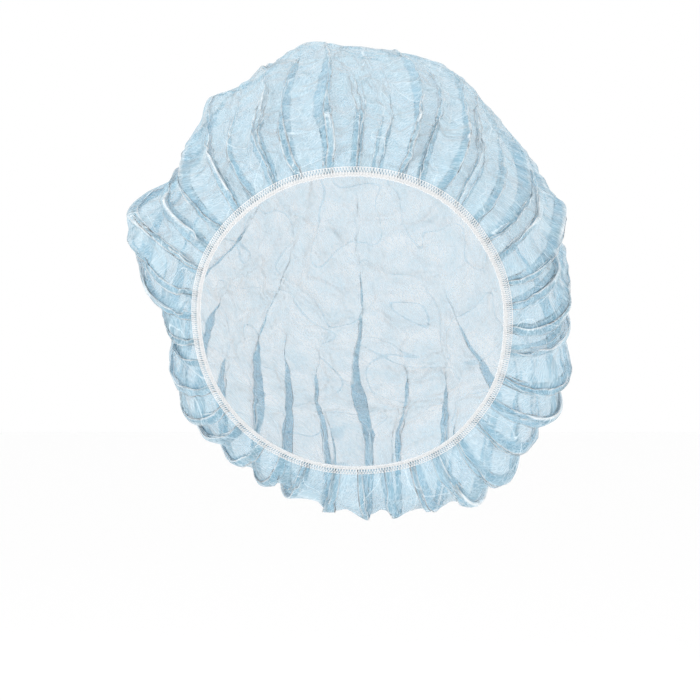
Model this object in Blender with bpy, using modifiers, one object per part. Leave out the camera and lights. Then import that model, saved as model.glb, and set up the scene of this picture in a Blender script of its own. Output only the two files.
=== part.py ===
"""Disposable bouffant cap, in the shape that it has on a head.

One round of thin nonwoven cloth is gathered onto a white elastic. The elastic runs across the
forehead, down in front of the ears and under the nape, and the slack cloth stands off it in folds.
Metres, +Z up, the forehead towards -Y. The origin is the middle of the elastic's loop.
"""

import math

import bmesh
import bpy
import numpy as np

# The elastic's loop, as the head stretches it
LOOP_ACROSS = 0.149  # temple to temple
LOOP_REACH = 0.150  # the forehead in front of the nape
LOOP_RISE = 0.140  # the forehead above the nape
ELASTIC_WIDTH = 0.0040
ELASTIC_THICKNESS = 0.0012

# The crown, measured from the loop's plane
CROWN_ACROSS = 0.194  # at its widest ring
CROWN_LENGTH = 0.216  # at its widest ring, in the plane's other direction
CROWN_HEIGHT = 0.139  # from the loop's plane to the middle of the cloth
WIDEST_HEIGHT = 0.052  # height of the widest ring above the loop's plane
WALL = 0.0010
CLEARANCE = 0.0003  # between the cloth and the elastic that is sewn into its margin
MARGIN = 0.0026  # how much of the elastic's width the cloth covers

# What the slack cloth does
SLACK = 0.030  # how far the cloth runs free as it leaves the elastic
FOLD_HEIGHT = 0.0085  # of a full fold, above the valleys beside it
RIM_RIPPLE = 0.0010  # height of the gathers where the stitches hold them
RUFFLE_HEIGHT = 0.012  # of a full ruffle above the smooth crown
HIDDEN_FOLDS = 15  # folds behind the head
# A fold's shoulders, on either side of its crest: shares of its half width, height and lay
SHOULDER_AT = 0.45
SHOULDER_HEIGHT = 0.35
SHOULDER_LAY = 0.4

# Places along a line of the cloth, from 0 at its rim to 1 at its middle
FREE_SHARE = 0.05  # past the hold of the stitches
FULL_SHARE = 0.14  # the folds reach their full height
WIDEST_SHARE = 0.27  # the widest ring
ROWS = (0, 0.02, 0.05, 0.09, 0.14, 0.20, 0.27, 0.35, 0.43, 0.52, 0.61)  # rings with all columns
UPPER_ROWS = ((0.69, 2), (0.77, 2), (0.85, 4), (0.92, 8))  # share, and columns to each point

# Round the loop: turn in degrees from the forehead towards +X, the elastic's reach as a share of
# its ellipse, fullness as a share of the widest ring, lean in degrees away from straight off the
# loop's plane, slack as a share of SLACK
SIDES = (
    # turn, reach, fullness, lean, slack
    (0, 1.00, 1.00, 42, 0.70),
    (30, 1.00, 0.99, 50, 0.75),
    (60, 0.98, 0.97, 66, 0.85),
    (90, 0.97, 0.99, 80, 1.00),
    (122, 1.00, 1.10, 96, 1.85),
    (145, 1.02, 1.22, 102, 2.30),
    (180, 1.00, 1.16, 102, 2.00),
    (210, 1.00, 1.06, 96, 1.45),
    (235, 1.00, 0.99, 88, 1.15),
    (262, 1.00, 0.94, 76, 0.90),
    (300, 1.03, 0.99, 66, 0.90),
    (330, 1.02, 1.00, 50, 0.75),
)

# The folds that show, a row for each: turn at the elastic, height as a share of FOLD_HEIGHT,
# reach as a share of the way to the middle, lay as the share of its half width that it leans over
FOLDS = (
    # turn, height, reach, lay
    (-104, 0.75, 0.50, 0.5),
    (-96, 0.60, 0.36, -0.3),
    (-87, 0.95, 0.62, 0.4),
    (-78, 0.65, 0.34, -0.4),
    (-70, 1.15, 0.66, 0.5),
    (-61, 0.80, 0.46, 0.5),
    (-52, 1.00, 0.58, -0.4),
    (-44, 0.70, 0.56, 0.5),
    (-37, 0.60, 0.34, -0.3),
    (-29, 0.95, 0.60, 0.5),
    (-20, 0.70, 0.44, -0.5),
    (-9, 0.95, 0.70, 0.6),
    (0, 0.45, 0.30, 0.3),
    (8, 0.40, 0.24, 0.3),
    (16, 0.85, 0.56, 0.5),
    (23, 0.60, 0.44, -0.4),
    (31, 1.00, 0.62, 0.6),
    (39, 0.65, 0.46, -0.4),
    (47, 0.60, 0.36, 0.3),
    (55, 0.95, 0.56, 0.5),
    (64, 0.75, 0.42, -0.4),
    (73, 1.15, 0.64, 0.5),
    (82, 0.80, 0.42, -0.4),
    (91, 1.05, 0.60, 0.5),
    (100, 0.70, 0.40, -0.3),
)
# Height, reach and lay of the folds behind, used in turn
HIDDEN_PATTERN = ((0.80, 0.52, 0.4), (1.00, 0.62, -0.3), (0.60, 0.40, 0.4))

# Ruffles and dents of the loose cloth: turn, the share of the way to the middle, their half widths
# in both, and lift as a share of RUFFLE_HEIGHT, below zero for a dent
RUFFLES = (
    # turn, share, half turn, half share, lift
    (-76, 0.22, 9, 0.07, 1.25),
    (-66, 0.37, 9, 0.09, -0.80),
    (-92, 0.36, 10, 0.09, 0.25),
    (-102, 0.13, 8, 0.07, -0.70),
    (-55, 0.44, 9, 0.09, -0.50),
    (-46, 0.38, 6, 0.07, 0.40),
    (-37, 0.53, 9, 0.09, -0.40),
    (-16, 0.55, 8, 0.09, 0.20),
    (6, 0.62, 14, 0.11, -0.40),
    (31, 0.47, 10, 0.12, -0.10),
    (53, 0.42, 10, 0.10, -0.55),
    (68, 0.36, 8, 0.07, -0.55),
    (75, 0.26, 6, 0.06, 0.35),
    (81, 0.20, 4, 0.06, -0.40),
    (104, 0.18, 8, 0.08, 0.10),
    (132, 0.30, 16, 0.10, 0.35),
    (-112, 0.30, 12, 0.10, -0.35),
    (160, 0.45, 22, 0.12, 0.30),
    (205, 0.40, 20, 0.12, 0.25),
    (230, 0.60, 18, 0.10, -0.25),
)

# Colour, roughness
CLOTH_FINISH = ((0.60, 0.80, 0.90, 1.0), 0.75)
ELASTIC_FINISH = ((0.93, 0.94, 0.95, 1.0), 0.60)

LOOP_LENGTH = math.hypot(LOOP_REACH, LOOP_RISE)
ACROSS = np.array((1.0, 0.0, 0.0))
FORWARD = np.array((0.0, -LOOP_REACH, LOOP_RISE)) / LOOP_LENGTH  # in the loop's plane
CROWNWARD = np.array((0.0, LOOP_RISE, LOOP_REACH)) / LOOP_LENGTH  # off the loop's plane


def read_sides(turn, column):
    """A column of SIDES at these turns, eased from row to row."""
    turns = [row[0] for row in SIDES] + [360]
    values = np.array([row[column] for row in SIDES] + [SIDES[0][column]])
    turn = np.mod(turn, 360)
    row = np.clip(np.searchsorted(turns, turn, side="right") - 1, 0, len(SIDES) - 1)
    start, end = np.take(turns, row), np.take(turns, row + 1)
    step = (turn - start) / (end - start)
    step = step * step * (3 - 2 * step)
    return values[row] * (1 - step) + values[row + 1] * step


def bare_crown(turn, share):
    """Points of the crown without folds or ruffles, from the rim at share 0 to the middle at 1."""
    turn, share = np.broadcast_arrays(np.asarray(turn, float), np.asarray(share, float))
    around = np.radians(turn)
    heading = np.stack([np.sin(around), np.cos(around)], -1)
    rim = heading * (LOOP_ACROSS / 2, LOOP_LENGTH / 2) * read_sides(turn, 1)[..., None]
    widest = heading * (CROWN_ACROSS / 2, CROWN_LENGTH / 2) * read_sides(turn, 2)[..., None]
    lean = np.radians(read_sides(turn, 3))
    slack = SLACK * read_sides(turn, 4)
    outward = rim / np.linalg.norm(rim, axis=-1, keepdims=True)
    # Below the widest ring, a Bezier curve: off the elastic at its lean, then straight up
    t = np.clip(share / WIDEST_SHARE, 0, 1)
    b0, b1, b2, b3 = (1 - t) ** 3, 3 * t * (1 - t) ** 2, 3 * t * t * (1 - t), t**3
    leaving = rim + outward * (slack * np.sin(lean))[..., None]
    flat = rim * b0[..., None] + leaving * b1[..., None] + widest * (b2 + b3)[..., None]
    height = slack * np.cos(lean) * b1 + WIDEST_HEIGHT * 0.5 * b2 + WIDEST_HEIGHT * b3
    # Above it, a quarter of an ellipse to the middle of the cloth
    up = np.clip((share - WIDEST_SHARE) / (1 - WIDEST_SHARE), 0, 1) * math.pi / 2
    above = share > WIDEST_SHARE
    flat = np.where(above[..., None], widest * np.cos(up)[..., None], flat)
    height = np.where(above, WIDEST_HEIGHT + (CROWN_HEIGHT - WIDEST_HEIGHT) * np.sin(up), height)
    return flat[..., :1] * ACROSS + flat[..., 1:] * FORWARD + height[..., None] * CROWNWARD


def directions(turn, share):
    """Unit vectors of the bare crown: round the loop, and out of the cloth."""
    small = 1e-3
    low, high = np.clip(share - small, 0, 1 - small), np.clip(share + small, small, 1 - small)
    share = np.clip(share, 0, 1 - 2 * small)
    along = bare_crown(turn, high) - bare_crown(turn, low)
    turning = bare_crown(turn + 0.1, share) - bare_crown(turn - 0.1, share)
    out = np.cross(turning, along)
    out /= np.linalg.norm(out, axis=-1, keepdims=True)
    turning /= np.linalg.norm(turning, axis=-1, keepdims=True)
    return turning, out


def ruffle_lift(turn, share):
    """How far the ruffles lift the cloth, and the dents lower it."""
    lift = np.zeros(np.broadcast(turn, share).shape)
    for at_turn, at_share, half_turn, half_share, size in RUFFLES:
        apart = np.mod(turn - at_turn + 180, 360) - 180
        lift += size * np.exp(-((apart / half_turn) ** 2) - ((share - at_share) / half_share) ** 2)
    return RUFFLE_HEIGHT * lift * np.clip(share / FREE_SHARE, 0, 1)


def all_folds():
    """Rows like those of FOLDS for the whole loop, the hidden ones spread evenly behind."""
    start, end = FOLDS[-1][0], FOLDS[0][0] + 360
    step = (end - start) / (HIDDEN_FOLDS + 1)
    behind = [
        (start + step * (n + 1), *HIDDEN_PATTERN[n % len(HIDDEN_PATTERN)])
        for n in range(HIDDEN_FOLDS)
    ]
    return list(FOLDS) + behind


def fold_columns():
    """Four columns of points for each fold: the valley before it, its shoulders and its crest.

    Gives arrays of turn, height, reach and sideways lean for each column."""
    folds = all_folds()
    columns = []
    for n, (turn, height, reach, lay) in enumerate(folds):
        before = folds[n - 1][0] - (360 if n == 0 else 0)
        after = folds[(n + 1) % len(folds)][0] + (360 if n == len(folds) - 1 else 0)
        left, right = (turn - before) / 2, (after - turn) / 2
        columns += [
            (turn - left, 0, reach, 0),
            (turn - left * SHOULDER_AT, height * SHOULDER_HEIGHT, reach, lay * SHOULDER_LAY * left),
            (turn, height, reach, lay * right),
            (turn + right * SHOULDER_AT, height * SHOULDER_HEIGHT, reach, lay * SHOULDER_LAY * right),
        ]
    return np.array(columns).T


def crown_rings():
    """Rings of points from the rim to near the middle, each with as many columns or fewer."""
    turn, height, reach, lay = fold_columns()
    rings = []
    for share, skip in [(share, 1) for share in ROWS] + list(UPPER_ROWS):
        held = RIM_RIPPLE / FOLD_HEIGHT
        rising = held + (1 - held) * min(1, share / FULL_SHARE)
        fading = np.clip(1 - share / reach, 0, 1)
        grown = rising * fading * fading * (3 - 2 * fading)
        leaning = turn + lay * grown * min(1, share / FREE_SHARE)
        _, out = directions(leaning, share)
        lift = FOLD_HEIGHT * height * grown + ruffle_lift(leaning, share)
        points = bare_crown(leaning, share) + out * lift[:, None]
        rings.append(points[::skip])
    return rings


def new_object(name, mesh_maker, finish, collection):
    """A named object whose mesh mesh_maker fills, in its own material."""
    mesh = bpy.data.meshes.new(name)
    shape = bmesh.new()
    mesh_maker(shape)
    shape.to_mesh(mesh)
    shape.free()
    material = bpy.data.materials.new(name)
    material.use_nodes = True
    shader = material.node_tree.nodes["Principled BSDF"]
    shader.inputs["Base Color"].default_value, shader.inputs["Roughness"].default_value = finish
    material.diffuse_color = finish[0]
    mesh.materials.append(material)
    made = bpy.data.objects.new(name, mesh)
    collection.objects.link(made)
    return made


def loft_crown(shape):
    """The cloth's outer face: rings joined one to the next, and a fan in the middle."""
    rings = [[shape.verts.new(point) for point in ring] for ring in crown_rings()]
    for lower, upper in zip(rings, rings[1:]):
        count, fewer = len(lower), len(lower) // len(upper)
        for n in range(len(upper)):
            first, last = lower[n * fewer], lower[(n + 1) * fewer % count]
            here, following = upper[n], upper[(n + 1) % len(upper)]
            if fewer == 1:
                shape.faces.new((first, last, following, here))
            else:
                between = lower[n * fewer + 1]
                shape.faces.new((first, between, here))
                shape.faces.new((between, following, here))
                shape.faces.new((between, last, following))
    middle = shape.verts.new(CROWNWARD * (CROWN_HEIGHT + float(ruffle_lift(0.0, 1.0))))
    for n, here in enumerate(rings[-1]):
        shape.faces.new((here, rings[-1][(n + 1) % len(rings[-1])], middle))


def loft_elastic(shape):
    """A flat elastic under the cloth's margin, its inner edge standing out past the cut edge."""
    turn = fold_columns()[0]
    turning, out = directions(turn, 0.0)
    rim = bare_crown(turn, 0.0)
    along = np.cross(out, turning)
    corners = []
    for sideways in (MARGIN - ELASTIC_WIDTH, MARGIN):
        for depth in (WALL + CLEARANCE, WALL + CLEARANCE + ELASTIC_THICKNESS):
            corners.append(rim + along * sideways - out * depth)
    order = [corners[0], corners[1], corners[3], corners[2]]
    loops = [[shape.verts.new(point) for point in points] for points in order]
    for one, other in zip(loops, loops[1:] + loops[:1]):
        for n in range(len(one)):
            following = (n + 1) % len(one)
            shape.faces.new((one[n], one[following], other[following], other[n]))
    bmesh.ops.recalc_face_normals(shape, faces=shape.faces)


def build_crown(collection):
    crown = new_object("crown", loft_crown, CLOTH_FINISH, collection)
    wall = crown.modifiers.new("wall", "SOLIDIFY")
    wall.thickness = WALL
    wall.offset = -1
    wall.use_even_offset = True
    wall.use_quality_normals = True
    return crown


def build_elastic(collection):
    elastic = new_object("elastic_band", loft_elastic, ELASTIC_FINISH, collection)
    elastic.data.shade_smooth()
    elastic.data.set_sharp_from_angle(angle=math.radians(50))
    return elastic


def main():
    for old in list(bpy.data.objects):
        bpy.data.objects.remove(old)
    collection = bpy.data.collections.new("bouffant_cap")
    bpy.context.scene.collection.children.link(collection)
    build_crown(collection)
    build_elastic(collection)


main()
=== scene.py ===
"""Looks of a disposable bouffant cap: pleated nonwoven cloth, white elastic and overlock thread.

The cloth is one round cut, 53 cm across, gathered three to one at its rim. It is folded into
pleats by rule, then a short cloth simulation lets it buckle into the creases of thin nonwoven.
"""

import math

import bpy
import numpy as np
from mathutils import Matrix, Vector


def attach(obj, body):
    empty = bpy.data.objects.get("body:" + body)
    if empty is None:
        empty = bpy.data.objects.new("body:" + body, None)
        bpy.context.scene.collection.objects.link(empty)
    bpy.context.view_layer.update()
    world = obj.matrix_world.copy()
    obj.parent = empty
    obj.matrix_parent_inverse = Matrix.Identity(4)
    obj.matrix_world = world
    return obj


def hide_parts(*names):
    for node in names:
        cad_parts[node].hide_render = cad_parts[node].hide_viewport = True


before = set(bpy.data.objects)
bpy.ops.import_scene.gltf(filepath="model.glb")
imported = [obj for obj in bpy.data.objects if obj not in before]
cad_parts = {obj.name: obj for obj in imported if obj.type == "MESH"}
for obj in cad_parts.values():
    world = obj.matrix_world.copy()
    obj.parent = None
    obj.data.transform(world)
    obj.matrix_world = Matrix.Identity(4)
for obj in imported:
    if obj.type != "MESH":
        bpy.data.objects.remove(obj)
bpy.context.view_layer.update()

# The worn form, with the values of the solids: the elastic's loop and the crown over it
LOOP_ACROSS = 0.149
LOOP_REACH = 0.150
LOOP_RISE = 0.140
CROWN_ACROSS = 0.194
CROWN_LENGTH = 0.216
CROWN_HEIGHT = 0.139
WIDEST_HEIGHT = 0.052
SLACK = 0.030
FOLD_HEIGHT = 0.0085
RUFFLE_HEIGHT = 0.012
HIDDEN_FOLDS = 15
FREE_SHARE = 0.05
FULL_SHARE = 0.14
WIDEST_SHARE = 0.27

SIDES = (
    # turn, reach, fullness, lean, slack
    (0, 1.00, 1.00, 42, 0.70),
    (30, 1.00, 0.99, 50, 0.75),
    (60, 0.98, 0.97, 66, 0.85),
    (90, 0.97, 0.99, 80, 1.00),
    (122, 1.00, 1.10, 96, 1.85),
    (145, 1.02, 1.22, 102, 2.30),
    (180, 1.00, 1.16, 102, 2.00),
    (210, 1.00, 1.06, 96, 1.45),
    (235, 1.00, 0.99, 88, 1.15),
    (262, 1.00, 0.94, 76, 0.90),
    (300, 1.03, 0.99, 66, 0.90),
    (330, 1.02, 1.00, 50, 0.75),
)
FOLDS = (
    # turn, height, reach, lay
    (-104, 0.75, 0.50, 0.5),
    (-96, 0.60, 0.36, -0.3),
    (-87, 0.95, 0.62, 0.4),
    (-78, 0.65, 0.34, -0.4),
    (-70, 1.15, 0.66, 0.5),
    (-61, 0.80, 0.46, 0.5),
    (-52, 1.00, 0.58, -0.4),
    (-44, 0.70, 0.56, 0.5),
    (-37, 0.60, 0.34, -0.3),
    (-29, 0.95, 0.60, 0.5),
    (-20, 0.70, 0.44, -0.5),
    (-9, 0.95, 0.70, 0.6),
    (0, 0.45, 0.30, 0.3),
    (8, 0.40, 0.24, 0.3),
    (16, 0.85, 0.56, 0.5),
    (23, 0.60, 0.44, -0.4),
    (31, 1.00, 0.62, 0.6),
    (39, 0.65, 0.46, -0.4),
    (47, 0.60, 0.36, 0.3),
    (55, 0.95, 0.56, 0.5),
    (64, 0.75, 0.42, -0.4),
    (73, 1.15, 0.64, 0.5),
    (82, 0.80, 0.42, -0.4),
    (91, 1.05, 0.60, 0.5),
    (100, 0.70, 0.40, -0.3),
)
HIDDEN_PATTERN = ((0.80, 0.52, 0.4), (1.00, 0.62, -0.3), (0.60, 0.40, 0.4))
RUFFLES = (
    # turn, share, half turn, half share, lift
    (-76, 0.22, 9, 0.07, 1.25),
    (-66, 0.37, 9, 0.09, -0.80),
    (-92, 0.36, 10, 0.09, 0.25),
    (-102, 0.13, 8, 0.07, -0.70),
    (-55, 0.44, 9, 0.09, -0.50),
    (-46, 0.38, 6, 0.07, 0.40),
    (-37, 0.53, 9, 0.09, -0.40),
    (-16, 0.55, 8, 0.09, 0.20),
    (6, 0.62, 14, 0.11, -0.40),
    (31, 0.47, 10, 0.12, -0.10),
    (53, 0.42, 10, 0.10, -0.55),
    (68, 0.36, 8, 0.07, -0.55),
    (75, 0.26, 6, 0.06, 0.35),
    (81, 0.20, 4, 0.06, -0.40),
    (104, 0.18, 8, 0.08, 0.10),
    (132, 0.30, 16, 0.10, 0.35),
    (-112, 0.30, 12, 0.10, -0.35),
    (160, 0.45, 22, 0.12, 0.30),
    (205, 0.40, 20, 0.12, 0.25),
    (230, 0.60, 18, 0.10, -0.25),
)

# The cut round of cloth
ROUND_ACROSS = 0.53
ROUND_RADIUS = ROUND_ACROSS / 2

# The cloth's mesh: rings by share of the way from rim to middle, with the columns halved inwards
COLUMNS_A_PLEAT = 8
RING_BANDS = (
    # last share, rings in the band, columns of the rim's to each column
    (0.010, 2, 1),
    (0.055, 4, 1),
    (0.38, 18, 1),
    (0.72, 19, 2),
    (0.90, 9, 4),
    (0.97, 4, 8),
)

# How the slack folds, from the rim inwards
FOLD_SEED = 7
UNEVEN_PLEATS = 0.14  # how far from a fold's middle its two small pleats may meet, in folds
SMALL_PLEAT_RATIO = 1.95  # cloth in a small pleat at the rim, for each unit of the loop
SMALL_PLEAT_HEIGHT = 0.0008
SMALL_PLEATS_END = 0.46
FOLD_RATIO = 1.85  # cloth in a full fold, for each unit of the loop
FOLD_FULLNESS = (0.55, 1.40)  # least and most of that slack, from fold to fold
FOLD_LENGTH = (1.05, 1.65)  # least and most length, beside the solid's fold
PRESSED_LENGTH = 0.0060  # over which the stitches let the folds rise
PRESSED_RISE = 0.10  # share of their height that folds keep under the stitches
FOLD_STEP = 0.0016  # how far a folded-over edge stands off what is under it
FREE_FOLD_STEP = 0.08  # share of the way inwards where it stands off fully
RIM_RISE = 0.12  # share of a full fold's height at the rim
RIDGE_SHARPNESS = 1.6
LAY_DEGREES = 3.5  # by which a fold leans over sideways
SWAY_DEGREES = 1.6
SWAYS = (
    # waves round the loop, radians on the way inwards, size, starting angle
    (3, 7, 1.0, 0.6),
    (7, -11, 0.8, 2.1),
    (13, 17, 0.5, 4.0),
)

# The simulation that buckles the cloth
SIM_FRAMES = 24
CLOTH_GROWTH = 0.11  # slack that the pleats don't take up, as a share of the cloth's length
HOLD = 0.50  # how firmly the cloth keeps to its worn form, away from the stitches
STITCHED_SHARE = 0.012  # nearer the rim than this, the stitches hold the cloth still
FREEST = 0.0080  # the most that a point moves
BEND_FROM = 20  # degrees between neighbouring faces where the painted sheen highlight on the cloth starts
BEND_OVER = 50  # degrees more, at which the painted sheen highlight is full white

# The elastic and its threads, measured across the band from the cloth's cut edge inwards
STRAND_EDGE = -0.0017
STRAND_END = 0.0007
STRAND_THICKNESS = 0.0013
STRAND_DEPTH = 0.0006  # its middle below the cloth's face
NEEDLE_LINE = 0.0023
STITCH_PITCH = 0.00135
THREAD_RADIUS = 0.00016

# Finishes: colours, among them the white of a painted sheen highlight, and how much of what is behind
# one layer of cloth it hides
DEEP_BLUE = (0.28, 0.55, 0.72)
PALE_BLUE = (0.44, 0.69, 0.82)
FILAMENT_WHITE = (0.75, 0.87, 0.94)
# painted sheen highlight: the white that sharp bends and crease lines are painted with
PAINTED_SHEEN_WHITE = (0.93, 0.97, 0.99)
THIN_COVER = 0.29
THICK_COVER = 0.51
ELASTIC_WHITE = (0.95, 0.955, 0.96)
THREAD_WHITE = (0.96, 0.965, 0.97)
FLOOR_WHITE = (0.985, 0.985, 0.985)
FILAMENT_LAYS = (
    # turn in radians, place in the pattern
    (0.2, 0.0),
    (0.85, 3.7),
    (1.5, 8.1),
    (2.1, 12.6),
    (2.75, 17.2),
)
CREASE_LAYERS = (
    # how many times finer, height
    (1.0, 1.0),
    (2.7, 0.40),
)

# The camera of the photograph: level, 1.8 m in front of the cap
CAMERA_AT = (-0.0024, -1.875, -0.011)
FOCAL_PIXELS = 3956
PICTURE_PIXELS = 700
SENSOR_MM = 36
FLOOR_HEIGHT = -0.34

LOOP_LENGTH = math.hypot(LOOP_REACH, LOOP_RISE)
ACROSS = np.array((1.0, 0.0, 0.0))
FORWARD = np.array((0.0, -LOOP_REACH, LOOP_RISE)) / LOOP_LENGTH
CROWNWARD = np.array((0.0, LOOP_RISE, LOOP_REACH)) / LOOP_LENGTH


def read_sides(turn, column):
    """A column of SIDES at these turns, eased from row to row."""
    turns = [row[0] for row in SIDES] + [360]
    values = np.array([row[column] for row in SIDES] + [SIDES[0][column]])
    turn = np.mod(turn, 360)
    row = np.clip(np.searchsorted(turns, turn, side="right") - 1, 0, len(SIDES) - 1)
    start, end = np.take(turns, row), np.take(turns, row + 1)
    step = (turn - start) / (end - start)
    step = step * step * (3 - 2 * step)
    return values[row] * (1 - step) + values[row + 1] * step


def bare_crown(turn, share):
    """Points of the crown without folds or ruffles, from the rim at share 0 to the middle at 1."""
    turn, share = np.broadcast_arrays(np.asarray(turn, float), np.asarray(share, float))
    around = np.radians(turn)
    heading = np.stack([np.sin(around), np.cos(around)], -1)
    rim = heading * (LOOP_ACROSS / 2, LOOP_LENGTH / 2) * read_sides(turn, 1)[..., None]
    widest = heading * (CROWN_ACROSS / 2, CROWN_LENGTH / 2) * read_sides(turn, 2)[..., None]
    lean = np.radians(read_sides(turn, 3))
    slack = SLACK * read_sides(turn, 4)
    outward = rim / np.linalg.norm(rim, axis=-1, keepdims=True)
    t = np.clip(share / WIDEST_SHARE, 0, 1)
    b0, b1, b2, b3 = (1 - t) ** 3, 3 * t * (1 - t) ** 2, 3 * t * t * (1 - t), t**3
    leaving = rim + outward * (slack * np.sin(lean))[..., None]
    flat = rim * b0[..., None] + leaving * b1[..., None] + widest * (b2 + b3)[..., None]
    height = slack * np.cos(lean) * b1 + WIDEST_HEIGHT * 0.5 * b2 + WIDEST_HEIGHT * b3
    up = np.clip((share - WIDEST_SHARE) / (1 - WIDEST_SHARE), 0, 1) * math.pi / 2
    above = share > WIDEST_SHARE
    flat = np.where(above[..., None], widest * np.cos(up)[..., None], flat)
    height = np.where(above, WIDEST_HEIGHT + (CROWN_HEIGHT - WIDEST_HEIGHT) * np.sin(up), height)
    return flat[..., :1] * ACROSS + flat[..., 1:] * FORWARD + height[..., None] * CROWNWARD


def directions(turn, share):
    """Unit vectors of the bare crown: round the loop, and out of the cloth."""
    small = 1e-3
    low, high = np.clip(share - small, 0, 1 - small), np.clip(share + small, small, 1 - small)
    share = np.clip(share, 0, 1 - 2 * small)
    along = bare_crown(turn, high) - bare_crown(turn, low)
    turning = bare_crown(turn + 0.1, share) - bare_crown(turn - 0.1, share)
    out = np.cross(turning, along)
    out /= np.linalg.norm(out, axis=-1, keepdims=True)
    turning /= np.linalg.norm(turning, axis=-1, keepdims=True)
    return turning, out


def ruffle_lift(turn, share):
    """How far the ruffles lift the cloth, and the dents lower it."""
    lift = np.zeros(np.broadcast(turn, share).shape)
    for at_turn, at_share, half_turn, half_share, size in RUFFLES:
        apart = np.mod(turn - at_turn + 180, 360) - 180
        lift += size * np.exp(-((apart / half_turn) ** 2) - ((share - at_share) / half_share) ** 2)
    return RUFFLE_HEIGHT * lift * np.clip(share / FREE_SHARE, 0, 1)


def all_folds():
    """Rows like those of FOLDS for the whole loop, the hidden ones spread evenly behind."""
    start, end = FOLDS[-1][0], FOLDS[0][0] + 360
    step = (end - start) / (HIDDEN_FOLDS + 1)
    behind = [
        (start + step * (n + 1), *HIDDEN_PATTERN[n % len(HIDDEN_PATTERN)])
        for n in range(HIDDEN_FOLDS)
    ]
    return list(FOLDS) + behind


def zigzag(phase, ratio):
    """Where a folded strip lies along its pitch, and how high: forward, back under, forward again."""
    ratio = np.maximum(ratio, 1.0001)
    first = (ratio + 1) / (4 * ratio)
    second = 1 - first
    top = ratio * first
    place = np.where(
        phase < first,
        ratio * phase,
        np.where(phase < second, top - ratio * (phase - first), 1 - ratio * (1 - phase)),
    )
    falling = 1 - 2 * (phase - first) / np.maximum(second - first, 1e-6)
    height = np.where(
        phase < first,
        phase / first,
        np.where(phase < second, falling, -(1 - phase) / first),
    )
    return place, height


def smooth(value):
    value = np.clip(value, 0, 1)
    return value * value * (3 - 2 * value)


class Columns:
    """The columns of cloth at the rim: their fold's span and their phase in pleat and fold."""

    def __init__(self, chance):
        folds = all_folds()
        rows = []
        for n, (turn, height, reach, lay) in enumerate(folds):
            before = folds[n - 1][0] - (360 if n == 0 else 0)
            after = folds[(n + 1) % len(folds)][0] + (360 if n == len(folds) - 1 else 0)
            start, end = (before + turn) / 2, (turn + after) / 2
            split = 0.5 + chance.uniform(-UNEVEN_PLEATS, UNEVEN_PLEATS)
            fuller = chance.uniform(*FOLD_FULLNESS)
            longer = chance.uniform(*FOLD_LENGTH)
            spans = ((0.0, split), (split, 1.0))
            for low, high in spans:
                side = chance.choice((-1.0, 1.0))
                for step in range(COLUMNS_A_PLEAT):
                    phase = step / COLUMNS_A_PLEAT
                    crest = (turn - start) / (end - start)
                    span = (start, end, low, high, phase, side, crest)
                    rows.append((*span, height, reach, lay, fuller, longer))
        table = np.array(rows).T
        self.start, self.end, self.low, self.high, self.phase, self.side, self.crest = table[:7]
        self.height, self.reach, self.lay, self.fuller, self.longer = table[7:]
        self.turn = self.start + (self.end - self.start) * (
            self.low + (self.high - self.low) * self.phase
        )


def ring_shares():
    """Each ring's share of the way to the middle, and how many of the rim's columns it joins."""
    rings, last = [(0.0, 1)], 0.0
    for end, count, skip in RING_BANDS:
        for n in range(count):
            rings.append((last + (end - last) * (n + 1) / count, skip))
        last = end
    return rings


def sway(turn, share):
    """Degrees by which folds wander sideways as they rise, so that they aren't straight."""
    around = np.radians(turn)
    waves = sum(
        size * np.sin(count * around + inwards * share + start)
        for count, inwards, size, start in SWAYS
    )
    return SWAY_DEGREES * waves * smooth(share / 0.30) * (1 - smooth((share - 0.55) / 0.4))


def fold_ring(columns, share):
    """One ring of the folded cloth: small pleats within larger folds, laid on the worn form."""
    ending = smooth(1 - share / SMALL_PLEATS_END)
    place, small_height = zigzag(columns.phase, 1 + (SMALL_PLEAT_RATIO - 1) * ending)
    phase = columns.low + (columns.high - columns.low) * place
    fading = smooth(1.35 * (1 - share / (columns.reach * columns.longer)))
    fullness = columns.fuller * np.minimum(1.2, columns.height + 0.2)
    fold_ratio = 1 + (FOLD_RATIO - 1) * fullness * fading
    place, fold_step = zigzag(np.clip(phase, 0, 1), fold_ratio)
    place = place + (phase - np.clip(phase, 0, 1))
    turn = columns.start + (columns.end - columns.start) * place
    rising = RIM_RISE + (1 - RIM_RISE) * min(1, share / FULL_SHARE)
    ridge_fading = smooth(1 - share / columns.reach)
    side = np.where(place < columns.crest, place / columns.crest, (1 - place) / (1 - columns.crest))
    ridge = np.clip(side, 0, 1) ** RIDGE_SHARPNESS
    leaning = ridge_fading * min(1, share / FREE_SHARE)
    turn = turn + LAY_DEGREES * columns.lay * ridge * leaning
    turn = turn + sway(turn, share)
    lift = FOLD_HEIGHT * columns.height * ridge * rising * ridge_fading
    standing_off = fading * min(1, 0.25 + share / FREE_FOLD_STEP)
    lift = lift + np.sign(columns.lay) * fold_step * FOLD_STEP * standing_off
    lift = lift + columns.side * small_height * SMALL_PLEAT_HEIGHT * ending
    from_edge = share * 3 * SLACK * read_sides(turn, 4) / WIDEST_SHARE
    freed = smooth((from_edge - NEEDLE_LINE) / PRESSED_LENGTH)
    lift = lift * (PRESSED_RISE + (1 - PRESSED_RISE) * freed)
    lift = lift + ruffle_lift(turn, share)
    _, out = directions(turn, share)
    return bare_crown(turn, share) + out * lift[:, None]


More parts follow.
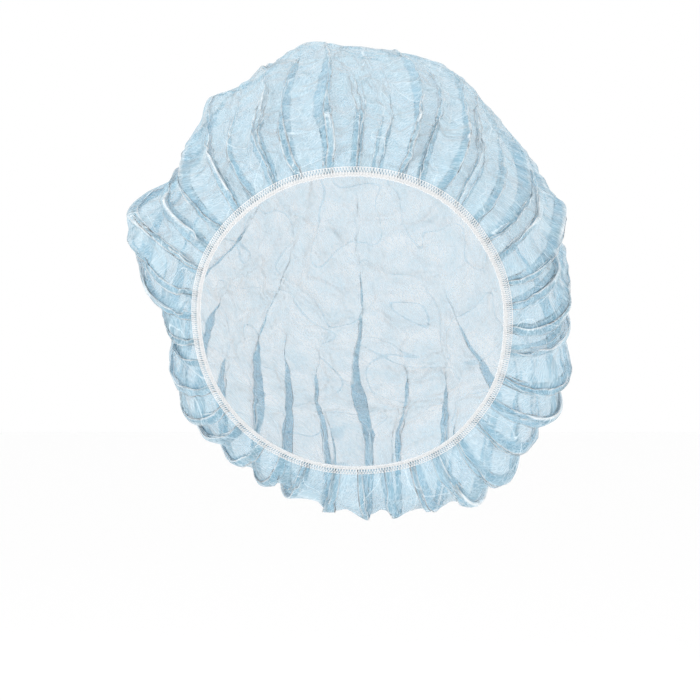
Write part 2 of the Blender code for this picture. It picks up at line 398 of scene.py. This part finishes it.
def cloth_mesh(chance):
    """The folded round of cloth, with its flat cut as the UV map, and each point's share."""
    columns = Columns(chance)
    cut_angle = np.linspace(0, 2 * math.pi, len(columns.turn), endpoint=False)
    points, flat, shares, rings = [], [], [], []
    for share, skip in ring_shares():
        ring = fold_ring(columns, share)[::skip]
        angle = cut_angle[::skip]
        radius = ROUND_RADIUS * (1 - share)
        start = len(points)
        points.extend(ring)
        flat.extend(np.stack([np.sin(angle), np.cos(angle), 0 * angle], -1) * radius)
        shares.extend([share] * len(ring))
        rings.append(range(start, start + len(ring)))
    faces = []
    for lower, upper in zip(rings, rings[1:]):
        fewer = len(lower) // len(upper)
        for n in range(len(upper)):
            first, last = lower[n * fewer], lower[(n + 1) * fewer % len(lower)]
            here, following = upper[n], upper[(n + 1) % len(upper)]
            if fewer == 1:
                faces.append((first, last, following, here))
            else:
                between = lower[n * fewer + 1]
                faces.append((first, between, here))
                faces.append((between, following, here))
                faces.append((between, last, following))
    middle = len(points)
    points.append(CROWNWARD * (CROWN_HEIGHT + float(ruffle_lift(0.0, 1.0))))
    flat.append((0.0, 0.0, 0.0))
    shares.append(1.0)
    for n, here in enumerate(rings[-1]):
        faces.append((here, rings[-1][(n + 1) % len(rings[-1])], middle))
    mesh = bpy.data.meshes.new("crown_cloth")
    mesh.from_pydata([tuple(p) for p in points], [], faces)
    flat = np.array(flat)
    layer = mesh.uv_layers.new(name="cut")
    corner = np.empty(len(mesh.loops), int)
    mesh.loops.foreach_get("vertex_index", corner)
    layer.data.foreach_set("uv", (flat[corner, :2] / ROUND_ACROSS + 0.5).ravel())
    return mesh, np.array(shares)


def link(obj):
    bpy.context.scene.collection.objects.link(obj)
    return obj


def evaluated_copy(obj, name):
    """A plain mesh object from the object as its modifiers leave it."""
    depsgraph = bpy.context.evaluated_depsgraph_get()
    mesh = bpy.data.meshes.new_from_object(obj.evaluated_get(depsgraph))
    mesh.name = name
    return mesh


def positions(mesh):
    flat = np.empty(len(mesh.vertices) * 3, np.float32)
    mesh.vertices.foreach_get("co", flat)
    return flat.reshape(-1, 3).astype(float)


def buckle(mesh, shares):
    """Runs the cloth simulation on the folded round, and returns where its points end."""
    obj = link(bpy.data.objects.new("crown_cloth_sim", mesh))
    hold = obj.vertex_groups.new(name="hold")
    for n, share in enumerate(shares):
        weight = 1.0 if share < STITCHED_SHARE else HOLD
        hold.add([n], weight, "REPLACE")
    cloth = obj.modifiers.new("cloth", "CLOTH")
    cloth.point_cache.frame_start = 1
    cloth.point_cache.frame_end = SIM_FRAMES
    settings = cloth.settings
    settings.quality = 5
    settings.mass = 0.10
    settings.air_damping = 3.0
    settings.bending_model = "ANGULAR"
    settings.tension_stiffness = 60
    settings.compression_stiffness = 60
    settings.shear_stiffness = 6
    settings.bending_stiffness = 0.8
    settings.tension_damping = 2
    settings.compression_damping = 2
    settings.shear_damping = 2
    settings.bending_damping = 0.3
    settings.vertex_group_mass = "hold"
    settings.pin_stiffness = 2.5
    settings.shrink_min = -CLOTH_GROWTH
    settings.effector_weights.gravity = 0
    cloth.collision_settings.use_collision = False
    cloth.collision_settings.use_self_collision = False
    for number in range(1, SIM_FRAMES + 1):
        bpy.context.scene.frame_set(number)
    settled = evaluated_copy(obj, "settled")
    found = positions(settled)
    bpy.data.objects.remove(obj)
    bpy.data.meshes.remove(settled)
    bpy.context.scene.frame_set(1)
    return found


def mark_bends(mesh):
    """Stores as the attribute bend how sharply the cloth turns at each point, from 0 to 1: the mask
    for the painted sheen highlight.
    """
    edge_of_corner = np.empty(len(mesh.loops), np.int32)
    mesh.loops.foreach_get("edge_index", edge_of_corner)
    corners = np.empty(len(mesh.polygons), np.int32)
    mesh.polygons.foreach_get("loop_total", corners)
    order = np.argsort(edge_of_corner, kind="stable")
    edges = edge_of_corner[order]
    faces = np.repeat(np.arange(len(corners)), corners)[order]
    shared = np.flatnonzero(edges[1:] == edges[:-1])
    normals = np.empty(len(mesh.polygons) * 3, np.float32)
    mesh.polygons.foreach_get("normal", normals)
    normals = normals.reshape(-1, 3)
    cosine = (normals[faces[shared]] * normals[faces[shared + 1]]).sum(1)
    angle = np.degrees(np.arccos(np.clip(cosine, -1, 1)))
    ends = np.empty(len(mesh.edges) * 2, np.int32)
    mesh.edges.foreach_get("vertices", ends)
    ends = ends.reshape(-1, 2)[edges[shared]]
    bend = np.zeros(len(mesh.vertices))
    for side in (0, 1):
        np.maximum.at(bend, ends[:, side], angle)
    layer = mesh.attributes.new("bend", "FLOAT", "POINT")
    layer.data.foreach_set("value", smooth((bend - BEND_FROM) / BEND_OVER).astype(np.float32))


def make_crown_cloth(material):
    mesh, shares = cloth_mesh(np.random.default_rng(FOLD_SEED))
    start = positions(mesh)
    moved = buckle(mesh.copy(), shares) - start
    far = np.linalg.norm(moved, axis=1, keepdims=True)
    moved *= np.minimum(1, FREEST / np.maximum(far, 1e-9))
    mesh.vertices.foreach_set("co", (start + moved).astype(np.float32).ravel())
    draft = link(bpy.data.objects.new("crown_cloth_draft", mesh))
    rounder = draft.modifiers.new("rounder", "SUBSURF")
    rounder.levels = rounder.render_levels = 1
    fine = evaluated_copy(draft, "crown_cloth")
    bpy.data.objects.remove(draft)
    fine.materials.clear()
    fine.materials.append(material)
    fine.shade_smooth()
    mark_bends(fine)
    return link(bpy.data.objects.new("crown_cloth", fine))


class Wiring:
    """Short calls that add nodes to a tree and join them."""

    def __init__(self, tree):
        self.nodes, self.links = tree.nodes, tree.links

    def feed(self, socket, value):
        if isinstance(value, bpy.types.NodeSocket):
            self.links.new(value, socket)
        else:
            socket.default_value = value

    def add(self, kind, inputs=(), **settings):
        made = self.nodes.new(kind)
        for key, value in settings.items():
            setattr(made, key, value)
        for key, value in dict(inputs).items():
            self.feed(made.inputs[key], value)
        return made

    def maths(self, kind, *values, clamp=False):
        made = self.add("ShaderNodeMath", operation=kind, use_clamp=clamp)
        for socket, value in zip(made.inputs, values):
            self.feed(socket, value)
        return made.outputs[0]

    def ranged(self, value, start, end, low=0.0, high=1.0, kind="LINEAR"):
        """The value's place between start and end, as a number from low to high."""
        limits = {"From Min": start, "From Max": end, "To Min": low, "To Max": high}
        return self.add(
            "ShaderNodeMapRange", {"Value": value, **limits}, interpolation_type=kind
        ).outputs[0]

    def ramp(self, value, low, low_colour, high, high_colour):
        made = self.add("ShaderNodeValToRGB", {0: value})
        elements = made.color_ramp.elements
        elements[0].position = low
        elements[0].color = (*low_colour, 1)
        elements[1].position = high
        elements[1].color = (*high_colour, 1)
        return made.outputs[0]

    def blend(self, share, colour, other):
        values = {"Factor": share, "A": colour, "B": (*other, 1)}
        return self.add("ShaderNodeMix", values, data_type="RGBA").outputs["Result"]

    def bump(self, height, strength, distance, **inputs):
        values = {"Strength": strength, "Distance": distance, "Height": height, **inputs}
        return self.add("ShaderNodeBump", values).outputs[0]


def pattern_group(name, sizes, outputs):
    """A node group for a pattern on the flat cut, which turns its UV map into metres."""
    group = bpy.data.node_groups.new(name, "ShaderNodeTree")
    face = group.interface
    face.new_socket("Place", in_out="INPUT", socket_type="NodeSocketVector")
    for label, value in (("Cut Size", ROUND_ACROSS), *sizes):
        socket = face.new_socket(label, in_out="INPUT", socket_type="NodeSocketFloat")
        socket.default_value = value
    for label in outputs:
        face.new_socket(label, in_out="OUTPUT", socket_type="NodeSocketFloat")
    wiring = Wiring(group)
    entry = wiring.add("NodeGroupInput").outputs
    leave = wiring.add("NodeGroupOutput").inputs
    scaled = {0: entry["Place"], "Scale": entry["Cut Size"]}
    place = wiring.add("ShaderNodeVectorMath", scaled, operation="SCALE").outputs[0]
    return group, wiring, entry, leave, place


def spunbond_group():
    """Spunbond web: crossing filaments, clouds of thicker and thinner web, and bond points."""
    sizes = (("Filament Spacing", 0.004), ("Cloud Size", 0.014), ("Bond Pitch", 0.0022))
    outputs = ("Filaments", "Cloud", "Bond", "Height")
    group, wiring, entry, leave, place = pattern_group("spunbond_web", sizes, outputs)
    maths = wiring.maths
    spacing = maths("DIVIDE", 1.0, entry["Filament Spacing"])
    web = 0.0
    for turn, start in FILAMENT_LAYS:
        lay = wiring.add(
            "ShaderNodeMapping",
            {
                "Vector": place,
                "Rotation": (0, 0, turn),
                "Location": (start, start * 0.7, 0),
                "Scale": (0.30, 1.0, 1.0),
            },
        )
        waves = wiring.add(
            "ShaderNodeTexNoise",
            {"Vector": lay.outputs[0], "Scale": spacing, "Detail": 2.0, "Roughness": 0.6},
            noise_dimensions="2D",
        )
        off = maths("ABSOLUTE", maths("SUBTRACT", waves.outputs[0], 0.5))
        web = maths("MAXIMUM", web, wiring.ranged(off, 0.020, 0.002, kind="SMOOTHSTEP"))
    cloud_rate = maths("DIVIDE", 1.0, entry["Cloud Size"])
    clouds = wiring.add(
        "ShaderNodeTexNoise",
        {"Vector": place, "Scale": cloud_rate, "Detail": 4.0, "Roughness": 0.62},
        noise_dimensions="2D",
    )
    split = wiring.add("ShaderNodeSeparateXYZ", {0: place}).outputs
    rate = maths("DIVIDE", 2 * math.pi, entry["Bond Pitch"])
    across = maths("SINE", maths("MULTIPLY", split["X"], rate))
    down = maths("SINE", maths("MULTIPLY", split["Y"], rate))
    bond = wiring.ranged(maths("MULTIPLY", across, down), 0.55, 0.80, kind="SMOOTHSTEP")
    wiring.feed(leave["Filaments"], web)
    wiring.feed(leave["Cloud"], clouds.outputs[0])
    wiring.feed(leave["Bond"], bond)
    wiring.feed(leave["Height"], maths("SUBTRACT", web, maths("MULTIPLY", bond, 0.8)))
    return group


def crease_group():
    """Creases of papery cloth: soft slopes that meet along sharp winding lines."""
    sizes = (("Facet Size", 0.034),)
    outputs = ("Height", "Crease")
    group, wiring, entry, leave, place = pattern_group("paper_creases", sizes, outputs)
    slopes = []
    height = 0.0
    for finer, size in CREASE_LAYERS:
        rate = wiring.maths("DIVIDE", finer, entry["Facet Size"])
        waves = wiring.add(
            "ShaderNodeTexNoise",
            {"Vector": place, "Scale": rate, "Detail": 0.4, "Distortion": 0.7},
            noise_dimensions="2D",
        )
        off = wiring.maths("SUBTRACT", waves.outputs[0], 0.5)
        slopes.append(wiring.maths("ABSOLUTE", off))
        height = wiring.maths("MULTIPLY_ADD", slopes[-1], -size, height)
    wiring.feed(leave["Height"], height)
    wiring.feed(leave["Crease"], wiring.ranged(slopes[0], 0.010, 0.0, kind="SMOOTHSTEP"))
    return group


def new_material(name):
    material = bpy.data.materials.new(name)
    material.use_nodes = True
    skin = material.node_tree.nodes["Principled BSDF"].inputs
    return material, Wiring(material.node_tree), skin


def nonwoven_material(web, creases):
    """Pale blue spunbond: half see-through, denser where it folds over itself. Sharp bends and crease
    lines carry a painted sheen highlight, white and more opaque.
    """
    material, wiring, skin = new_material("nonwoven_blue")
    place = {"Place": wiring.add("ShaderNodeUVMap", uv_map="cut").outputs[0]}
    fibre = wiring.add("ShaderNodeGroup", place, node_tree=web).outputs
    crumple = wiring.add("ShaderNodeGroup", place, node_tree=creases).outputs
    # Painted sheen highlight: sharp bends and crease lines are painted white and made more opaque
    bend_sheen_mask = wiring.add("ShaderNodeAttribute", attribute_name="bend").outputs["Fac"]
    white = wiring.maths("MULTIPLY_ADD", crumple["Crease"], 0.45, bend_sheen_mask, clamp=True)
    blue = wiring.ramp(fibre["Cloud"], 0.32, DEEP_BLUE, 0.68, PALE_BLUE)
    fibred = wiring.blend(
        wiring.maths("MULTIPLY", fibre["Filaments"], 0.55), blue, FILAMENT_WHITE
    )
    wiring.feed(skin["Base Color"], wiring.blend(white, fibred, PAINTED_SHEEN_WHITE))
    cover = wiring.ranged(fibre["Cloud"], 0.3, 0.7, THIN_COVER, THICK_COVER)
    # filaments, crease lines and the painted sheen highlight each hide more of what is behind
    for more, size in ((fibre["Filaments"], 0.22), (crumple["Crease"], 0.16), (white, 0.55)):
        cover = wiring.maths("MULTIPLY_ADD", more, size, cover, clamp=True)
    wiring.feed(skin["Alpha"], cover)
    wiring.feed(skin["Roughness"], wiring.ranged(fibre["Bond"], 0.0, 1.0, 0.62, 0.45))
    crumpled = wiring.bump(crumple["Height"], 0.8, 0.014)
    wiring.feed(skin["Normal"], wiring.bump(fibre["Height"], 0.35, 0.0002, Normal=crumpled))
    skin["Sheen Weight"].default_value = 0.45
    skin["Sheen Roughness"].default_value = 0.4
    skin["Specular IOR Level"].default_value = 0.45
    return material


def thread_material(name, colour, roughness, grain):
    """White textured yarn: fine fibres over a slightly uneven white."""
    material, wiring, skin = new_material(name)
    place = wiring.add("ShaderNodeTexCoord").outputs["Object"]
    fuzz = wiring.add(
        "ShaderNodeTexNoise", {"Vector": place, "Scale": 1 / grain, "Detail": 4.0}
    ).outputs[0]
    shade = tuple(c * 0.82 for c in colour)
    wiring.feed(skin["Base Color"], wiring.ramp(fuzz, 0.3, shade, 0.6, colour))
    rough = wiring.ranged(fuzz, 0.0, 1.0, roughness - 0.1, roughness + 0.1)
    wiring.feed(skin["Roughness"], rough)
    wiring.feed(skin["Normal"], wiring.bump(fuzz, 0.5, 0.0001))
    skin["Sheen Weight"].default_value = 0.3
    return material


def rim_frame(turn):
    """The loop's points and unit vectors there: round it, across the band inwards, and out."""
    turning, out = directions(turn, 0.0)
    across = np.cross(out, turning)
    return bare_crown(turn, 0.0), turning, across, out


def even_turns(count):
    """Turns that are the same distance apart along the loop."""
    turn = np.linspace(0, 360, 1441)
    step = np.linalg.norm(np.diff(bare_crown(turn, 0.0), axis=0), axis=1)
    length = np.concatenate([[0], np.cumsum(step)])
    return np.interp(np.linspace(0, length[-1], count, endpoint=False), length, turn), length[-1]


def make_elastic(material):
    """The knitted strand: oval, with lengthwise ribs and a knob at every course."""
    courses = 620
    steps = 3
    sides = 12
    turn, _ = even_turns(courses * steps)
    rim, _, across, out = rim_frame(turn)
    middle = rim + across * (STRAND_EDGE + STRAND_END) / 2 - out * STRAND_DEPTH
    half_width = (STRAND_END - STRAND_EDGE) / 2
    course = np.cos(2 * math.pi * np.arange(len(turn)) / steps)
    points, faces = [], []
    for side in range(sides):
        angle = 2 * math.pi * side / sides
        rib = 1 + 0.07 * math.cos(angle * 6)
        edge = max(0.0, -math.cos(angle)) ** 3
        swell = rib + (0.05 + 0.16 * edge) * course
        width = half_width * math.cos(angle) * swell
        depth = STRAND_THICKNESS / 2 * math.sin(angle) * swell
        points.append(middle + across * width[:, None] + out * depth[:, None])
    points = np.concatenate(points)
    count = len(turn)
    for side in range(sides):
        for n in range(count):
            a, b = side * count + n, side * count + (n + 1) % count
            c, d = (side + 1) % sides * count + (n + 1) % count, (side + 1) % sides * count + n
            faces.append((a, b, c, d))
    mesh = bpy.data.meshes.new("elastic_strand")
    mesh.from_pydata([tuple(p) for p in points], [], faces)
    mesh.materials.append(material)
    mesh.shade_smooth()
    return link(bpy.data.objects.new("elastic_strand", mesh))


def path_mesh(name, sideways, lift):
    """A closed chain of points round the band, with the directions that the stitches need."""
    turn, length = even_turns(720)
    rim, turning, across, out = rim_frame(turn)
    points = rim + across * sideways + out * lift
    mesh = bpy.data.meshes.new(name)
    edges = [(n, (n + 1) % len(points)) for n in range(len(points))]
    mesh.from_pydata([tuple(p) for p in points], edges, [])
    for label, vectors in (("along_band", turning), ("out_of_cloth", out)):
        layer = mesh.attributes.new(label, "FLOAT_VECTOR", "POINT")
        layer.data.foreach_set("vector", vectors.astype(np.float32).ravel())
    return mesh


class Tree(Wiring):
    """A Geometry Nodes tree with named number inputs."""

    def __init__(self, name, inputs):
        self.group = bpy.data.node_groups.new(name, "GeometryNodeTree")
        super().__init__(self.group)
        face = self.group.interface
        face.new_socket("Geometry", in_out="INPUT", socket_type="NodeSocketGeometry")
        self.identifiers = {}
        for label, value in inputs:
            socket = face.new_socket(label, in_out="INPUT", socket_type="NodeSocketFloat")
            socket.default_value = value
            self.identifiers[label] = socket.identifier
        face.new_socket("Geometry", in_out="OUTPUT", socket_type="NodeSocketGeometry")
        self.entry = self.nodes.new("NodeGroupInput")
        self.leave = self.nodes.new("NodeGroupOutput")

    def vector(self, x, y, z):
        return self.add("ShaderNodeCombineXYZ", {0: x, 1: y, 2: z}).outputs[0]

    def attribute(self, name):
        made = self.add("GeometryNodeInputNamedAttribute", {"Name": name}, data_type="FLOAT_VECTOR")
        return made.outputs["Attribute"]


def repeat_along(tree, instance, pitch):
    """Puts the instance at every pitch of the incoming closed path, turned to lie on the band."""
    curve = tree.add("GeometryNodeMeshToCurve", {0: tree.entry.outputs["Geometry"]})
    even = tree.add(
        "GeometryNodeResampleCurve", {"Curve": curve.outputs[0], "Length": pitch}, mode="LENGTH"
    )
    lie = tree.add(
        "FunctionNodeAxesToRotation",
        {0: tree.attribute("along_band"), 1: tree.attribute("out_of_cloth")},
        primary_axis="X",
        secondary_axis="Z",
    )
    size = tree.add(
        "FunctionNodeRandomValue",
        {"Min": (0.9, 0.9, 0.9), "Max": (1.1, 1.06, 1.15), "Seed": 5},
        data_type="FLOAT_VECTOR",
    )
    placed = tree.add(
        "GeometryNodeInstanceOnPoints",
        {"Points": even.outputs[0], "Instance": instance, "Rotation": lie.outputs[0]},
    )
    tree.links.new(size.outputs[0], placed.inputs["Scale"])
    return placed.outputs[0]


def end_tree(tree, geometry, material):
    real = tree.add("GeometryNodeRealizeInstances", {0: geometry})
    painted = tree.add("GeometryNodeSetMaterial", {"Geometry": real.outputs[0]})
    painted.inputs["Material"].default_value = material
    tree.links.new(painted.outputs[0], tree.leave.inputs[0])


def stitch_tree(material):
    """Overlock stitches: two slanting threads over the strand to a knob at its edge."""
    tree = Tree(
        "overlock_stitches",
        (
            ("Pitch", STITCH_PITCH),
            ("Thread Radius", THREAD_RADIUS),
            ("Needle Side", NEEDLE_LINE),
            ("Edge Side", STRAND_EDGE - THREAD_RADIUS),
            ("Rise", STRAND_THICKNESS),
        ),
    )
    entry = tree.entry.outputs
    circle = tree.add(
        "GeometryNodeCurvePrimitiveCircle", {"Resolution": 5, "Radius": entry["Thread Radius"]}
    )
    threads = tree.add("GeometryNodeJoinGeometry")
    for slant, arch in ((0.42, 0.55), (-0.50, 0.70)):
        reach = tree.maths("MULTIPLY", entry["Pitch"], slant)
        back = tree.maths("MULTIPLY", reach, -1.0)
        top = tree.maths("MULTIPLY", entry["Rise"], arch)
        near = tree.maths("MULTIPLY", entry["Needle Side"], 0.55)
        under = tree.maths("MULTIPLY", entry["Rise"], -0.35)
        bow = tree.add(
            "GeometryNodeCurvePrimitiveBezierSegment",
            {
                "Resolution": 7,
                "Start": tree.vector(back, entry["Needle Side"], tree.maths("MULTIPLY", top, 0.15)),
                "Start Handle": tree.vector(back, near, top),
                "End Handle": tree.vector(reach, entry["Edge Side"], top),
                "End": tree.vector(reach, entry["Edge Side"], under),
            },
        )
        tube = tree.add(
            "GeometryNodeCurveToMesh", {"Curve": bow.outputs[0], "Profile Curve": circle.outputs[0]}
        )
        tree.links.new(tube.outputs[0], threads.inputs[0])
    knob = tree.add(
        "GeometryNodeMeshIcoSphere",
        {"Radius": tree.maths("MULTIPLY", entry["Thread Radius"], 1.9), "Subdivisions": 2},
    )
    moved = tree.add(
        "GeometryNodeTransform",
        {
            "Geometry": knob.outputs[0],
            "Translation": tree.vector(0.0, entry["Edge Side"], 0.0),
            "Scale": (1.5, 0.9, 1.1),
        },
    )
    tree.links.new(moved.outputs[0], threads.inputs[0])
    end_tree(tree, repeat_along(tree, threads.outputs[0], entry["Pitch"]), material)
    return tree


def needle_tree(material):
    """The needle thread: short grains of thread, one to each stitch, end to end."""
    tree = Tree("needle_thread", (("Pitch", STITCH_PITCH), ("Thread Radius", THREAD_RADIUS)))
    entry = tree.entry.outputs
    grain = tree.add(
        "GeometryNodeMeshUVSphere", {"Segments": 8, "Rings": 6, "Radius": entry["Thread Radius"]}
    )
    half_length = tree.maths("MULTIPLY", entry["Pitch"], 0.56)
    longer = tree.maths("DIVIDE", half_length, entry["Thread Radius"])
    shaped = tree.add(
        "GeometryNodeTransform",
        {"Geometry": grain.outputs[0], "Scale": tree.vector(longer, 1.25, 1.0)},
    )
    end_tree(tree, repeat_along(tree, shaped.outputs[0], entry["Pitch"]), material)
    return tree


def grow(name, tree, path, values):
    """Runs a tree on a path and keeps its result as a plain mesh."""
    draft = link(bpy.data.objects.new(name + "_path", path))
    grower = draft.modifiers.new("grower", "NODES")
    grower.node_group = tree.group
    for label, value in values:
        grower[tree.identifiers[label]] = value
    mesh = evaluated_copy(draft, name)
    bpy.data.objects.remove(draft)
    mesh.shade_smooth()
    return link(bpy.data.objects.new(name, mesh))


def make_stitches(material):
    tree = stitch_tree(material)
    return grow(
        "overlock_stitches", tree, path_mesh("stitch_path", 0.0, 0.0003), (("Pitch", STITCH_PITCH),)
    )


def make_needle_thread(material):
    tree = needle_tree(material)
    path = path_mesh("needle_path", NEEDLE_LINE, THREAD_RADIUS * 3)
    return grow("needle_thread", tree, path, (("Pitch", STITCH_PITCH),))


def make_floor():
    mesh = bpy.data.meshes.new("floor")
    size = 14.0
    corners = [(-size, -size), (size, -size), (size, size), (-size, size)]
    mesh.from_pydata([(x, y, FLOOR_HEIGHT) for x, y in corners], [], [(0, 1, 2, 3)])
    material, _, skin = new_material("floor_white")
    skin["Base Color"].default_value = (*FLOOR_WHITE, 1)
    skin["Roughness"].default_value = 1.0
    mesh.materials.append(material)
    floor = link(bpy.data.objects.new("floor", mesh))


def add_light(name, place, target, size, power):
    lamp = bpy.data.lights.new(name, "AREA")
    lamp.shape = "DISK"
    lamp.size = size
    lamp.energy = power
    obj = link(bpy.data.objects.new(name, lamp))
    obj.location = place
    obj.rotation_euler = (Vector(target) - Vector(place)).to_track_quat("-Z", "Y").to_euler()


def light_studio():
    world = bpy.data.worlds.new("studio")
    bpy.context.scene.world = world
    world.use_nodes = True
    background = world.node_tree.nodes["Background"]
    background.inputs["Color"].default_value = (1.0, 1.0, 1.0, 1)
    background.inputs["Strength"].default_value = 1.0
    add_light("key", (-1.5, -2.0, 0.9), (0, 0, 0.03), 0.8, 15)
    add_light("fill", (1.8, -1.3, 0.3), (0, 0, 0.02), 1.2, 3)
    add_light("rim", (0.9, 1.6, 0.8), (0, 0, 0.05), 1.0, 3)


def place_camera():
    camera = bpy.data.cameras.new("camera")
    camera.sensor_width = SENSOR_MM
    camera.lens = FOCAL_PIXELS / PICTURE_PIXELS * SENSOR_MM
    camera.clip_start = 0.05
    camera.clip_end = 60
    obj = link(bpy.data.objects.new("camera", camera))
    obj.location = CAMERA_AT
    obj.rotation_euler = (math.pi / 2, 0, 0)
    bpy.context.scene.camera = obj


def main():
    scene = bpy.context.scene
    scene.view_settings.view_transform = "Standard"
    scene.cycles.transparent_max_bounces = 48
    web, creases = spunbond_group(), crease_group()
    white = thread_material("elastic_white", ELASTIC_WHITE, 0.6, 0.0006)
    yarn = thread_material("thread_white", THREAD_WHITE, 0.55, 0.0003)
    cloth = make_crown_cloth(nonwoven_material(web, creases))
    strand = make_elastic(white)
    stitches = make_stitches(yarn)
    needle = make_needle_thread(yarn)
    for piece in (cloth, strand, stitches, needle):
        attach(piece, "root")
    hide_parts("crown")
    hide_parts("elastic_band")
    make_floor()
    light_studio()
    place_camera()


main()
